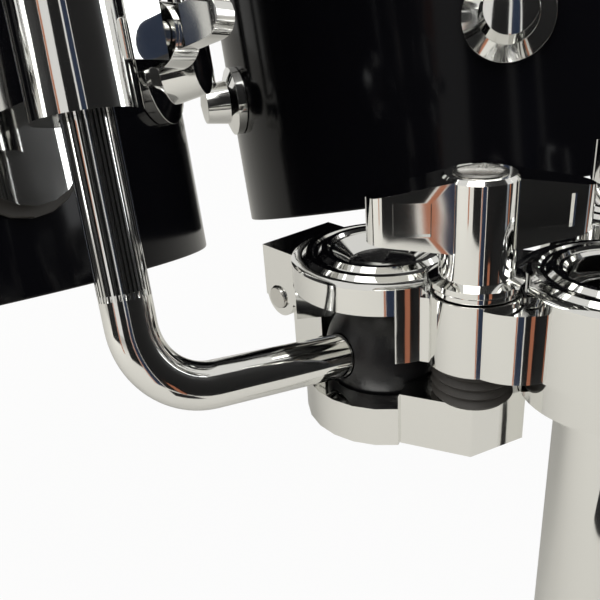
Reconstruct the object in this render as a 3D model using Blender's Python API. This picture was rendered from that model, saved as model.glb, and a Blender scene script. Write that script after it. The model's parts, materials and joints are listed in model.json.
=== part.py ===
"""A pair of single-headed concert toms on their double ball holder.

Lengths are in millimetres until a mesh is made. The origin is the centre of
the post's lower end. +Z is up, and the player stands on the +Y side.
"""
import bmesh
import bpy
from math import asin, atan2, cos, pi, radians, sin
from mathutils import Matrix, Vector

MM = 0.001
GAP = 0.3                  # between neighbouring pieces
RUN = 0.08                 # running clearance of a pin in its hole

POST_R = 12.7
POST_WALL = 2.0
RING_Z = 250.0             # top of the holder above the post's lower end
POST_TOP = -6.0            # heights from here on are measured from RING_Z
ARM_LENGTH = 62.4          # post axis to ball axis
ARM_HALF = 20.0
ARM_TOP = -4.0
ARM_BOTTOM = -22.5
COLLAR_BOTTOM = -33.5
COLLAR_R = 23.0
CAP_R = 26.0
BALL_R = 17.5
BALL_Z = -31.0
WINDOW_X = 11.0            # right edge of the opening that the rod leaves by
WINDOW_TOP = -8.5
JAW_TOP = -34.0
JAW_BOTTOM = -50.0
JAW_RIM = -38.0
JAW_R = 24.0
JAW_PLAY = 1.2             # room for the bolt while the jaw swings
BOLT = (29.0, -12.5)       # clamp bolt, seen from the ball axis
BOLT_R = 3.5
BOSS_R = 12.5
SHOULDER = (38.0, -9.5)    # the arm's front swells here towards the post
SHOULDER_R = 15.5
BALL_ROOM = 0.75           # ball to socket
SPOT_R = 13.2              # flat sunk round the bolt for its washer
SPOT_Z = -3.0
HUB_R = 9.5
HUB_FOOT_R = 12.0
HUB_TOP = 27.0
WING_LENGTH = 27.5
WING_THICK = 9.0
WING_LOW = 9.0
WING_HIGH = 26.6
WING_TURN = {-1: radians(25.0), 1: radians(-60.0)}
HINGE = (-30.0, 16.0)      # hinge pin, seen from the ball axis
HINGE_R = 3.6
HINGE_Z = -21.0
HINGE_LENGTH = 28.0
KNUCKLE = 14.0             # width of the jaw's knuckle between the ears
EAR_R = 6.5
EAR_TOP = -4.6

ROD_R = 6.35
ROD_BEND = 20.0
ARM_REACH = 75.3           # ball centre to the rod's corner
ROD_WAY = (0.966, -0.213, 0.147)
ROD_UP = 150.0             # corner to the rod's upper end
TILT = radians(16.5)       # both drums lean towards the player

SHELL_WALL = 6.0
DRUM_DEPTH = 200.0
LUGS = 6
ROD_STAND = 36.7           # shell to the middle of the rod
RECEIVER = (41.0, 80.0)    # height on the shell
RECEIVER_R = 13.0
LUG_Z = 63.0
LUG_R = 17.0
TENSION_R = 2.8
TENSION_OUT = 13.0         # shell to the middle of a tension rod

scene = bpy.context.scene
for old in list(bpy.data.objects):
    bpy.data.objects.remove(old, do_unlink=True)


def material(name, colour, roughness, metallic):
    made = bpy.data.materials.new(name)
    made.use_nodes = True
    shader = made.node_tree.nodes["Principled BSDF"]
    shader.inputs["Base Color"].default_value = (*colour, 1.0)
    shader.inputs["Roughness"].default_value = roughness
    shader.inputs["Metallic"].default_value = metallic
    return made


FINISH = {
    "chrome": ((0.80, 0.80, 0.78), 0.08, 1.0),
    "steel": ((0.62, 0.62, 0.60), 0.30, 1.0),
    "nylon": ((0.02, 0.02, 0.02), 0.45, 0.0),
    "rubber": ((0.03, 0.025, 0.02), 0.70, 0.0),
    "lacquer": ((0.01, 0.01, 0.012), 0.08, 0.0),
    "head": ((0.85, 0.84, 0.80), 0.50, 0.0),
}


def finish_object(name, mesh_data, finish):
    """Closes the mesh's normals and puts it in the scene in metres."""
    bmesh.ops.recalc_face_normals(mesh_data, faces=mesh_data.faces)
    for vertex in mesh_data.verts:
        vertex.co *= MM
    mesh = bpy.data.meshes.new(name)
    mesh_data.to_mesh(mesh)
    mesh_data.free()
    made = bpy.data.objects.new(name, mesh)
    scene.collection.objects.link(made)
    if finish:
        colour, roughness, metallic = FINISH[finish]
        mesh.materials.append(material(name, colour, roughness, metallic))
    mesh.shade_smooth()
    mesh.set_sharp_from_angle(angle=radians(32.0))
    return made


def boolean(target, tool_data, operation):
    """Cuts a shape out of an object, or joins the shape to it."""
    tool = finish_object(target.name + "_tool", tool_data, None)
    tool.hide_render = True
    tool.display_type = "WIRE"
    step = target.modifiers.new(operation.lower(), "BOOLEAN")
    step.operation = operation
    step.solver = "MANIFOLD"
    step.object = tool


def turned(profile, steps, closed=False):
    """Turns (radius, height) points about Z. An open profile ends on the axis."""
    shape = bmesh.new()
    rings = []
    for radius, height in profile:
        if radius < 1e-6:
            rings.append([shape.verts.new((0.0, 0.0, height))])
            continue
        ring = []
        for step in range(steps):
            angle = 2.0 * pi * step / steps
            ring.append(shape.verts.new((radius * cos(angle), radius * sin(angle), height)))
        rings.append(ring)
    pairs = list(zip(rings, rings[1:]))
    if closed:
        pairs.append((rings[-1], rings[0]))
    for lower, upper in pairs:
        for step in range(steps):
            after = (step + 1) % steps
            if len(lower) == 1:
                shape.faces.new((lower[0], upper[step], upper[after]))
            elif len(upper) == 1:
                shape.faces.new((lower[step], lower[after], upper[0]))
            else:
                shape.faces.new((lower[step], lower[after], upper[after], upper[step]))
    return shape


def cylinder(radius, low, high, steps=32):
    return turned([(0.0, low), (radius, low), (radius, high), (0.0, high)], steps)


def tube(outer, inner, low, high, steps=32):
    return turned([(outer, low), (outer, high), (inner, high), (inner, low)], steps, closed=True)


def prism(outline, low, high):
    """A flat outline pulled up between two heights."""
    shape = bmesh.new()
    bottom = [shape.verts.new((x, y, low)) for x, y in outline]
    top = [shape.verts.new((x, y, high)) for x, y in outline]
    shape.faces.new(bottom)
    shape.faces.new(top)
    count = len(outline)
    for index in range(count):
        after = (index + 1) % count
        shape.faces.new((bottom[index], bottom[after], top[after], top[index]))
    return shape


def arc(centre, radius, start, end, steps):
    """Points of an arc, with its angles in degrees."""
    points = []
    for step in range(steps + 1):
        angle = radians(start + (end - start) * step / steps)
        points.append((centre[0] + radius * cos(angle), centre[1] + radius * sin(angle)))
    return points


def moved(shape, matrix):
    shape.transform(matrix)
    return shape


def swept(points, radius, steps):
    """A round bar along a flat path of points."""
    shape = bmesh.new()
    side = (points[1] - points[0]).cross(points[-1] - points[0]).normalized()
    rings = []
    for index, point in enumerate(points):
        before = points[max(index - 1, 0)]
        after = points[min(index + 1, len(points) - 1)]
        across = (after - before).normalized().cross(side)
        ring = []
        for step in range(steps):
            angle = 2.0 * pi * step / steps
            ring.append(shape.verts.new(point + radius * (cos(angle) * side + sin(angle) * across)))
        rings.append(ring)
    for lower, upper in zip(rings, rings[1:]):
        for step in range(steps):
            after = (step + 1) % steps
            shape.faces.new((lower[step], lower[after], upper[after], upper[step]))
    shape.faces.new(rings[0])
    shape.faces.new(rings[-1])
    return shape


def arm_matrix(side):
    """From an arm's own plan, ball axis at 0,0 and +X to the post, to the object."""
    turn = Matrix.Rotation(radians(-45.0), 4, "Z") @ Matrix.Translation((-ARM_LENGTH, 0.0, 0.0))
    mirror = Matrix.Scale(-1.0, 4, (1.0, 0.0, 0.0)) if side > 0 else Matrix.Identity(4)
    return Matrix.Translation((0.0, 0.0, RING_Z)) @ mirror @ turn


LIFT = Matrix.Translation((0.0, 0.0, RING_Z))
BOLT_LINE = atan2(BOLT[1] - HINGE[1], BOLT[0] - HINGE[0])
PIN_TURN = Matrix.Translation((*HINGE, HINGE_Z)) @ Matrix.Rotation(BOLT_LINE, 4, "Z")


def pin_shape(radius, low, high, steps=20):
    """A cylinder along the hinge, measured from the middle of its length."""
    lying = Matrix.Rotation(radians(90.0), 4, "X")
    return moved(cylinder(radius, low, high, steps), PIN_TURN @ lying)


def hinge_box(x_low, x_high, half, z_low, z_high):
    """A block in the hinge's own plan, +X towards the ball."""
    outline = [(x_low, -half), (x_high, -half), (x_high, half), (x_low, half)]
    return moved(prism(outline, z_low - HINGE_Z, z_high - HINGE_Z), PIN_TURN)


WINDOW = [(WINDOW_X, -40.0), (WINDOW_X, -9.0), (-12.0, 0.0), (-22.0, -5.0),
          (-40.0, -16.0), (-40.0, -40.0)]
CAP_PROFILE = [
    (0.0, ARM_BOTTOM - 4.0), (CAP_R, ARM_BOTTOM - 4.0), (CAP_R, -1.0),
    (CAP_R - 4.6, 0.6), (CAP_R - 9.4, 1.5), (CAP_R - 10.6, 1.5),
    (CAP_R - 16.5, -3.2), (0.0, -4.2)]
COLLAR_PROFILE = [
    (0.0, ARM_BOTTOM - 5.0), (CAP_R, ARM_BOTTOM - 5.0), (CAP_R, -1.0),
    (CAP_R - 4.6, 0.6), (CAP_R - 9.4, 1.5), (CAP_R - 10.6, 1.5),
    (POST_R, -0.5), (0.0, -0.5)]


def arms_outline():
    """Both arms seen from above, a V that opens towards the player."""
    points = []
    for side, along in ((-1, -ARM_HALF), (1, -ARM_HALF), (1, ARM_HALF), (-1, ARM_HALF)):
        end = arm_matrix(side) @ Vector((0.0, along, 0.0))
        points.append((end.x, end.y))
    corner = ARM_HALF * 2.0 ** 0.5
    return [points[0], (0.0, -corner), points[1], points[2], (0.0, corner), points[3]]


def holder_body():
    """The one casting: collar on the post, two arms, two upper half sockets."""
    body = finish_object("holder_body", moved(turned(COLLAR_PROFILE, 30), LIFT), "chrome")
    arms = prism(arms_outline(), ARM_BOTTOM - 2.0, ARM_TOP)
    boolean(body, moved(arms, LIFT), "UNION")
    for side in (-1, 1):
        place = arm_matrix(side)
        boolean(body, moved(turned(CAP_PROFILE, 30), place), "UNION")
        boss = moved(cylinder(BOSS_R, ARM_BOTTOM - 3.0, SPOT_Z + 0.5),
                     Matrix.Translation((*BOLT, 0.0)))
        boolean(body, moved(boss, place), "UNION")
        shoulder = moved(cylinder(SHOULDER_R, ARM_BOTTOM - 5.5, ARM_TOP + 0.25),
                         Matrix.Translation((*SHOULDER, 0.0)))
        boolean(body, moved(shoulder, place), "UNION")
    boolean(body, moved(cylinder(200.0, -90.0, ARM_BOTTOM), LIFT), "DIFFERENCE")
    boolean(body, moved(cylinder(COLLAR_R, COLLAR_BOTTOM, -10.0, 30), LIFT), "UNION")
    for side in (-1, 1):
        place = arm_matrix(side)
        ear = hinge_box(-EAR_R, CAP_R - 10.0, HINGE_LENGTH / 2.0, HINGE_Z - 0.7, EAR_TOP)
        boolean(body, moved(ear, place), "UNION")
        boolean(body, moved(pin_shape(EAR_R, -HINGE_LENGTH / 2.0 + 0.5,
                                      HINGE_LENGTH / 2.0 - 0.5, 24), place), "UNION")
    for side in (-1, 1):
        place = arm_matrix(side)
        room = hinge_box(-EAR_R - 2.0, 14.0, KNUCKLE / 2.0 + GAP, HINGE_Z - EAR_R - 1.0,
                         HINGE_Z + EAR_R + 0.5)
        boolean(body, moved(room, place), "DIFFERENCE")
        boolean(body, moved(ball_shape(BALL_R + BALL_ROOM), place), "DIFFERENCE")
        boolean(body, moved(prism(WINDOW, -60.0, WINDOW_TOP), place), "DIFFERENCE")
        at_bolt = place @ Matrix.Translation((*BOLT, 0.0))
        boolean(body, moved(cylinder(SPOT_R, SPOT_Z, 20.0, 24), at_bolt), "DIFFERENCE")
        boolean(body, moved(cylinder(BOLT_R + GAP, -60.0, 20.0, 16), at_bolt), "DIFFERENCE")
        boolean(body, moved(pin_shape(HINGE_R + GAP, -30.0, 30.0), place), "DIFFERENCE")
    boolean(body, moved(cylinder(POST_R + GAP, -60.0, 20.0, 30), LIFT), "DIFFERENCE")


def ball_shape(radius, steps=16, rows=8):
    points = []
    for row in range(rows + 1):
        angle = -pi / 2.0 + pi * row / rows
        points.append((radius * cos(angle) if 0 < row < rows else 0.0, BALL_Z + radius * sin(angle)))
    return turned(points, steps)


JAW_OUTLINE = (
    [(WINDOW_X, -20.0), (31.0, -20.0), (42.5, -6.5), (38.0, 1.5), (24.0, 8.0)]
    + arc((0.0, 0.0), JAW_R, 20.0, 297.3, 18))


def lower_jaw(side, name):
    place = arm_matrix(side)
    jaw = finish_object(name, moved(prism(JAW_OUTLINE, JAW_BOTTOM, JAW_TOP), place), "chrome")
    neck = hinge_box(-2.0, 12.0, KNUCKLE / 2.0, JAW_BOTTOM + 4.0, HINGE_Z)
    boolean(jaw, moved(neck, place), "UNION")
    boolean(jaw, moved(pin_shape(EAR_R - GAP, -KNUCKLE / 2.0, KNUCKLE / 2.0, 24), place), "UNION")
    boolean(jaw, moved(ball_shape(BALL_R + BALL_ROOM), place), "DIFFERENCE")
    boolean(jaw, moved(prism(WINDOW, JAW_RIM, 0.0), place), "DIFFERENCE")
    hole = moved(cylinder(BOLT_R + JAW_PLAY, -60.0, 20.0, 20), Matrix.Translation((*BOLT, 0.0)))
    boolean(jaw, moved(hole, place), "DIFFERENCE")
    boolean(jaw, moved(pin_shape(HINGE_R + RUN, -20.0, 20.0), place), "DIFFERENCE")


def clamp(side, label):
    """The loose pieces of one ball clamp."""
    place = arm_matrix(side)
    at_bolt = place @ Matrix.Translation((*BOLT, 0.0))
    half = HINGE_LENGTH / 2.0 + 1.0
    finish_object(label + "_hinge_pin", moved(pin_shape(HINGE_R, -half, half), place), "steel")
    stud = cylinder(BOLT_R, JAW_BOTTOM + 0.6, HUB_TOP - 6.0, 20)
    finish_object(label + "_clamp_stud", moved(stud, at_bolt), "steel")
    ribs = []
    low = JAW_TOP + GAP
    high = ARM_BOTTOM - GAP
    count = 4
    for index in range(count):
        base = low + (high - low) * index / count
        step = (high - low) / count
        ribs += [(9.6, base), (10.8, base + step * 0.5)]
    ribs.append((9.6, high))
    bush = turned(ribs + [(BOLT_R + GAP, high), (BOLT_R + GAP, low)], 16, closed=True)
    finish_object(label + "_jaw_bush", moved(bush, at_bolt), "rubber")
    seat = SPOT_Z + GAP
    washer = tube(BOSS_R - 1.0, BOLT_R + GAP, seat, seat + 1.6, 28)
    finish_object(label + "_clamp_washer", moved(washer, at_bolt), "chrome")
    foot = seat + 1.6 + GAP
    bore = BOLT_R + RUN
    hub = turned([(HUB_FOOT_R, foot), (HUB_FOOT_R, foot + 1.4), (HUB_R, foot + 2.4),
                  (HUB_R, HUB_TOP - 1.0), (HUB_R - 1.0, HUB_TOP), (bore, HUB_TOP),
                  (bore, foot)], 28, closed=True)
    wing_turn = Matrix.Rotation(WING_TURN[side], 4, "Z")
    hub_object = finish_object(label + "_wing_bolt", moved(hub, at_bolt), "chrome")
    for way in (0.0, pi):
        blade = wing_blade()
        turn = wing_turn @ Matrix.Rotation(way, 4, "Z")
        boolean(hub_object, moved(blade, at_bolt @ turn), "UNION")


def wing_blade():
    """One wing, from inside the hub's wall to its round tip."""
    half = WING_THICK / 2.0
    start = HUB_R - 2.0
    outline = ([(start, -HUB_R + 2.8)] + arc((WING_LENGTH - half, 0.0), half, -80.0, 80.0, 6)
               + [(start, HUB_R - 2.8)])
    blade = prism(outline, WING_LOW, WING_HIGH)
    for vertex in blade.verts:
        share = max(0.0, (vertex.co.x - start) / (WING_LENGTH - start))
        if vertex.co.z > (WING_LOW + WING_HIGH) / 2.0:
            vertex.co.z -= 3.8 * share
        else:
            vertex.co.z += 2.5 * share
    return blade


def rod_points(side):
    """Ball centre, corner and upper end of a rod's middle line."""
    ball = arm_matrix(side) @ Vector((0.0, 0.0, BALL_Z))
    up = Vector((0.0, sin(TILT), cos(TILT)))
    along = Vector((side * ROD_WAY[0], ROD_WAY[1], ROD_WAY[2])).normalized()
    corner = ball + along * ARM_REACH
    return ball, corner, up


def rod_line(side, start_offset, end_offset):
    ball, corner, up = rod_points(side)
    inward = (ball - corner).normalized()
    half = inward.angle(up) / 2.0
    reach = ROD_BEND / abs(sin(half) / cos(half))
    centre = corner + (inward + up).normalized() * (ROD_BEND / sin(half))
    first = corner + inward * reach
    last = corner + up * reach
    path = [ball + inward * start_offset]
    a = (first - centre)
    b = (last - centre)
    whole = a.angle(b)
    steps = 8
    for step in range(steps + 1):
        share = step / steps
        path.append(centre + (a * sin((1.0 - share) * whole) + b * sin(share * whole)) / sin(whole))
    path.append(corner + up * end_offset)
    return path


def arm_pieces(side, label):
    """The ball and its bent rod."""
    ball, corner, up = rod_points(side)
    rod = swept(rod_line(side, 8.0, ROD_UP), ROD_R, 16)
    finish_object(label + "_l_rod", rod, "chrome")
    sphere = finish_object(label + "_ball", moved(ball_shape(BALL_R), arm_matrix(side)), "nylon")
    inward = (ball - corner).normalized()
    bore = bar(ball + inward * (8.0 + GAP), ball - inward * 40.0, ROD_R + GAP)
    boolean(sphere, bore, "DIFFERENCE")


def bar(start, end, radius, steps=20):
    """A straight round bar between two points."""
    way = end - start
    shape = cylinder(radius, 0.0, way.length, steps)
    return moved(shape, Matrix.Translation(start) @ way.to_track_quat("Z", "Y").to_matrix().to_4x4())


def drum_matrix(side, radius):
    """Shell's lower rim at 0,0,0, Z up the shell and the bracket towards -Y."""
    ball, corner, up = rod_points(side)
    spin = DRUMS[side]["spin"]
    lean = Matrix.Rotation(-TILT, 4, "X")
    turn = lean @ Matrix.Rotation(spin, 4, "Z")
    out = turn @ Vector((0.0, -(radius + ROD_STAND), 0.0))
    base = corner - out - up * DRUMS[side]["corner_height"]
    return Matrix.Translation(base) @ turn


DRUMS = {
    -1: {"label": "left", "radius": 127.0, "spin": radians(29.7), "corner_height": -27.0},
    1: {"label": "right", "radius": 152.4, "spin": radians(-2.0), "corner_height": -31.0},
}


def drum(side):
    """One shell with its head, hoop, lugs and bracket."""
    label = DRUMS[side]["label"]
    radius = DRUMS[side]["radius"]
    place = drum_matrix(side, radius)
    top = DRUM_DEPTH

    def put(name, shape, finish):
        return finish_object(label + "_" + name, moved(shape, place), finish)

    put("shell", tube(radius, radius - SHELL_WALL, 0.0, top, 48), "lacquer")
    put("batter_head", cylinder(radius + 5.0, top + GAP, top + GAP + 0.8, 48), "head")
    put("flesh_hoop", tube(radius + 5.0, radius + 1.0, top - 6.0, top, 40), "steel")
    lip = top + GAP + 0.8 + GAP
    hoop = turned([(radius + 1.0, lip), (radius + 1.0, lip + 1.6), (radius + 5.8, lip + 1.6),
                   (radius + 5.8, lip + 12.0), (radius + 8.4, lip + 12.0), (radius + 8.4, top - 18.0),
                   (radius + 17.5, top - 18.0), (radius + 17.5, top - 20.3),
                   (radius + 5.8, top - 20.3), (radius + 5.8, lip)], 40, closed=True)
    hoop_object = put("counterhoop", hoop, "chrome")
    first = pi * 1.5 + pi / LUGS
    shell_room = moved(cylinder(radius + GAP, -10.0, top + 10.0, 48), place)
    seat = top - 18.0 + GAP
    for index in range(LUGS):
        number = str(index + 1)
        turn = Matrix.Rotation(first + 2.0 * pi * index / LUGS, 4, "Z")
        at_rod = turn @ Matrix.Translation((radius + TENSION_OUT, 0.0, 0.0))
        rod = turned([(0.0, LUG_Z + 4.0), (TENSION_R, LUG_Z + 4.0), (TENSION_R, seat),
                      (4.2, seat), (4.2, seat + 6.0), (3.2, seat + 6.0), (3.2, seat + 12.0),
                      (0.0, seat + 12.0)], 8)
        put("tension_rod_" + number, moved(rod, at_rod), "chrome")
        hole = moved(cylinder(TENSION_R + GAP, top - 30.0, top, 8), at_rod)
        boolean(hoop_object, moved(hole, place), "DIFFERENCE")
        lug = put("lug_" + number, moved(lug_shape(radius), turn), "chrome")
        boolean(lug, shell_room.copy(), "DIFFERENCE")
        well = moved(cylinder(TENSION_R + GAP, LUG_Z + 2.0, top, 8), at_rod)
        boolean(lug, moved(well, place), "DIFFERENCE")
    shell_room.free()
    bracket(label, radius, place)


def lug_shape(radius):
    """A round foot on the shell with a round boss that takes the tension rod."""
    out = Matrix.Translation((0.0, 0.0, LUG_Z)) @ Matrix.Rotation(radians(90.0), 4, "Y")
    foot = turned([(0.0, radius - 3.0), (LUG_R, radius - 3.0), (LUG_R, radius + 4.0),
                   (11.0, radius + 6.5), (9.5, radius + 18.0), (0.0, radius + 20.0)], 12)
    return moved(foot, out)


def bracket(label, radius, place):
    """The flange on the shell, its gasket, the receiver on the rod and its screw."""
    middle = radius + ROD_STAND
    low, high = RECEIVER

    def put(name, shape, finish):
        return finish_object(label + "_" + name, moved(shape, place), finish)

    def ring_plate(inner, outer, half, z_low, z_high):
        reach = asin(half / inner)
        turn_low = -90.0 - reach * 180.0 / pi
        turn_high = -90.0 + reach * 180.0 / pi
        outline = arc((0.0, 0.0), outer, turn_low, turn_high, 8)
        outline += arc((0.0, 0.0), inner, turn_high, turn_low, 8)
        return prism(outline, z_low, z_high)

    def tongue(half, z_low, z_high):
        """A plate's outline with a round lower end, as a block through the plate."""
        outline = arc((0.0, z_low + half), half, 180.0, 360.0, 10) + [(half, z_high), (-half, z_high)]
        lying = Matrix.Rotation(radians(90.0), 4, "X")
        return moved(moved(prism(outline, radius - 12.0, radius + 20.0), lying), place)

    gasket = put("bracket_gasket", ring_plate(radius + GAP, radius + 2.2, 21.0, 10.0, 110.0),
                 "rubber")
    boolean(gasket, tongue(19.5, 21.0, 101.0), "INTERSECT")
    plate_in = radius + 2.2 + GAP
    plate_out = plate_in + 3.5
    flange = put("bracket_flange", ring_plate(plate_in, plate_out, 18.0, 10.0, 110.0), "chrome")
    boolean(flange, tongue(16.5, 24.0, 98.0), "INTERSECT")
    stem = prism([(-9.0, -plate_in - 1.0), (-9.0, -middle + 4.0), (9.0, -middle + 4.0),
                  (9.0, -plate_in - 1.0)], low + 6.0, high - 6.0)
    boolean(flange, moved(stem, place), "UNION")
    at_rod = Matrix.Translation((0.0, -middle, 0.0))
    boolean(flange, moved(moved(cylinder(RECEIVER_R, low, high, 32), at_rod), place), "UNION")
    ear = prism([(4.0, -middle - 6.0), (22.0, -middle - 6.0), (22.0, -middle + 6.0),
                 (4.0, -middle + 6.0)], low + 12.0, high - 12.0)
    boolean(flange, moved(ear, place), "UNION")
    boolean(flange, moved(moved(cylinder(ROD_R + GAP, -20.0, 140.0, 24), at_rod), place),
            "DIFFERENCE")
    screw_z = (low + high) / 2.0
    across = Matrix.Translation((0.0, -middle, screw_z)) @ Matrix.Rotation(radians(90.0), 4, "Y")
    boolean(flange, moved(moved(cylinder(4.0 + GAP, 0.0, 40.0, 16), across), place), "DIFFERENCE")
    nose = ROD_R + GAP
    screw = turned([(0.0, nose), (4.0 - RUN, nose), (4.0 - RUN, 24.0), (8.0, 24.0), (8.0, 32.0),
                    (0.0, 32.0)], 20)
    screw_object = put("thumb_screw", moved(screw, across), "chrome")
    grip = prism(arc((0.0, 17.0), 5.0, 0.0, 180.0, 8) + arc((0.0, -17.0), 5.0, 180.0, 360.0, 8),
                 25.0, 31.0)
    boolean(screw_object, moved(grip, place @ across), "UNION")
    lock_low = high + GAP
    lock = put("memory_lock", moved(tube(11.0, ROD_R + GAP, lock_low, lock_low + 12.0, 28), at_rod),
               "chrome")
    key = Matrix.Translation((0.0, -middle, lock_low + 6.0)) @ Matrix.Rotation(radians(90.0), 4, "X")
    boolean(lock, moved(cylinder(2.5 + GAP, 0.0, 20.0, 12), place @ key), "DIFFERENCE")
    bolt = turned([(0.0, nose), (2.5, nose), (2.5, 12.0), (4.5, 12.0), (4.5, 15.0), (2.4, 15.0),
                   (2.4, 20.0), (0.0, 20.0)], 12)
    put("lock_screw", moved(bolt, key), "steel")


post = tube(POST_R, POST_R - POST_WALL, 0.0, RING_Z + POST_TOP, 30)
finish_object("post_tube", post, "chrome")
holder_body()
for side, label in ((-1, "left"), (1, "right")):
    lower_jaw(side, label + "_lower_jaw")
    clamp(side, label)
    arm_pieces(side, label)
    drum(side)
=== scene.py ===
import json
from math import asin, atan2, cos, degrees, pi, radians, sin

import bmesh
import bpy
from mathutils import Matrix, Vector


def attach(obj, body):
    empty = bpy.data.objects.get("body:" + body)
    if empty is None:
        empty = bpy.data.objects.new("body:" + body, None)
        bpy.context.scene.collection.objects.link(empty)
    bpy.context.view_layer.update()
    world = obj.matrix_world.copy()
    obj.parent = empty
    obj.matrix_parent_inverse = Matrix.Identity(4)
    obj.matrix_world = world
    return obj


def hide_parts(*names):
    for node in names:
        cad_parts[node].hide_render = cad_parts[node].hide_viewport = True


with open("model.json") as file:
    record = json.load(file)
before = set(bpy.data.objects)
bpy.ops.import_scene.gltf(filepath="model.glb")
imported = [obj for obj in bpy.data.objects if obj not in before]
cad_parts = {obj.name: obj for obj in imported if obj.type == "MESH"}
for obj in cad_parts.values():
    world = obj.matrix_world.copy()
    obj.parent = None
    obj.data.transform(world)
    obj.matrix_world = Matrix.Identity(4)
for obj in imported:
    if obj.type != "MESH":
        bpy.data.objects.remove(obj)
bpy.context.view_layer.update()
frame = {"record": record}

scene = bpy.context.scene

# Post: a drawn steel tube, chromed and plain. Its lower end sits in the tube
# clamp of a stand, and the holder's collar is pushed over its upper end.
MM = 0.001                 # shapes are drawn in millimetres, the scene is in metres
POST_R = 12.7
POST_WALL = 2.0
RING_Z = 250.0             # level of the holder's top, above the post's lower end
POST_TOP = -6.0            # measured from RING_Z, as are all heights on the holder
SHARP = radians(28.0)      # faces that meet at less than this are shaded as one
FLAT = radians(0.5)        # and faces at less than this are made into one
PLATED = (0.86, 0.86, 0.84)
BODY_OF = {node: body for body, held in frame["record"]["behaviour"]["bodies"].items()
           for node in held}


class Wire:
    """A shader value that Python can add, subtract, multiply and compare."""

    def __init__(self, paint, socket):
        self.paint = paint
        self.socket = socket

    def combine(self, operation, other):
        return self.paint.node("ShaderNodeMath", {"operation": operation}, {0: self, 1: other})

    def __add__(self, other):
        return self.combine("ADD", other)

    def __sub__(self, other):
        return self.combine("SUBTRACT", other)

    def __mul__(self, other):
        return self.combine("MULTIPLY", other)

    def __gt__(self, other):
        return self.combine("GREATER_THAN", other)


class Paint:
    """One material made of nodes, with its Principled shader at hand."""

    def __init__(self, name, colour, roughness, metallic):
        self.material = bpy.data.materials.new(name)
        self.material.use_nodes = True
        self.tree = self.material.node_tree
        self.shader = self.tree.nodes["Principled BSDF"]
        self.shader.inputs["Base Color"].default_value = (*colour, 1.0)
        self.shader.inputs["Roughness"].default_value = roughness
        self.shader.inputs["Metallic"].default_value = metallic

    def node(self, kind, settings, inputs, out=0):
        made = self.tree.nodes.new(kind)
        for key, value in settings.items():
            setattr(made, key, value)
        for key, value in inputs.items():
            if isinstance(value, Wire):
                self.tree.links.new(value.socket, made.inputs[key])
            else:
                made.inputs[key].default_value = value
        return Wire(self, made.outputs[out])

    def place(self):
        """The point on the object, in metres."""
        return self.node("ShaderNodeTexCoord", {}, {}, out="Object")

    def noise(self, scale, detail):
        return self.node("ShaderNodeTexNoise", {},
                         {"Vector": self.place(), "Scale": scale, "Detail": detail})

    def feed(self, name, value):
        self.tree.links.new(value.socket, self.shader.inputs[name])

    def bump(self, height, distance, strength):
        self.feed("Normal", self.node("ShaderNodeBump", {}, {
            "Height": height, "Distance": distance, "Strength": strength}))

    def blend(self, mask, dark, light):
        """Colours the surface from dark where the mask is 0 to light where it is 1."""
        self.feed("Base Color", self.node("ShaderNodeMix", {"data_type": "RGBA"}, {
            0: mask, 6: (*dark, 1.0), 7: (*light, 1.0)}, out=2))


def link(name, shape):
    """Puts a drawn shape in the scene as an object."""
    mesh = bpy.data.meshes.new(name)
    shape.to_mesh(mesh)
    shape.free()
    made = bpy.data.objects.new(name, mesh)
    scene.collection.objects.link(made)
    return made


def begin(name, shape, prefix="fine_"):
    """Puts a shape drawn in millimetres in the scene, as the start of a piece."""
    bmesh.ops.recalc_face_normals(shape, faces=shape.faces)
    for vertex in shape.verts:
        vertex.co *= MM
    return link(prefix + name, shape)


def boolean(target, shape, operation):
    """Cuts a shape out of a piece, joins it on, or keeps only what lies in it."""
    step = target.modifiers.new(operation.lower(), "BOOLEAN")
    step.operation = operation
    step.solver = "MANIFOLD"
    step.object = begin(target.name + "_tool", shape)


def dress(piece, paint, body, sharp=SHARP):
    """Paints a piece, smooths its shading and hangs it on a body of the CAD."""
    piece.data.materials.clear()
    piece.data.materials.append(paint.material)
    piece.data.shade_smooth()
    piece.data.set_sharp_from_angle(angle=sharp)
    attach(piece, body)


def settle(piece, paint, edge=0.0):
    """Works out a piece's cuts, rounds its edges, and puts it in its CAD node's place."""
    node = piece.name.removeprefix("fine_")
    tools = [step.object for step in piece.modifiers]
    if tools:
        bpy.context.view_layer.update()
        whole = bpy.data.meshes.new_from_object(
            piece.evaluated_get(bpy.context.evaluated_depsgraph_get()))
        piece.modifiers.clear()
        piece.data = whole
        for tool in tools:
            bpy.data.objects.remove(tool, do_unlink=True)
        work = bmesh.new()
        work.from_mesh(whole)
        bmesh.ops.dissolve_limit(work, angle_limit=FLAT, verts=work.verts, edges=work.edges)
        work.to_mesh(whole)
        work.free()
    dress(piece, paint, BODY_OF[node])
    if edge:
        step = piece.modifiers.new("soft edges", "BEVEL")
        step.width = edge
        step.segments = 3
        step.limit_method = "ANGLE"
        step.angle_limit = SHARP
        step.harden_normals = True
    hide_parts(node)


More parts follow.
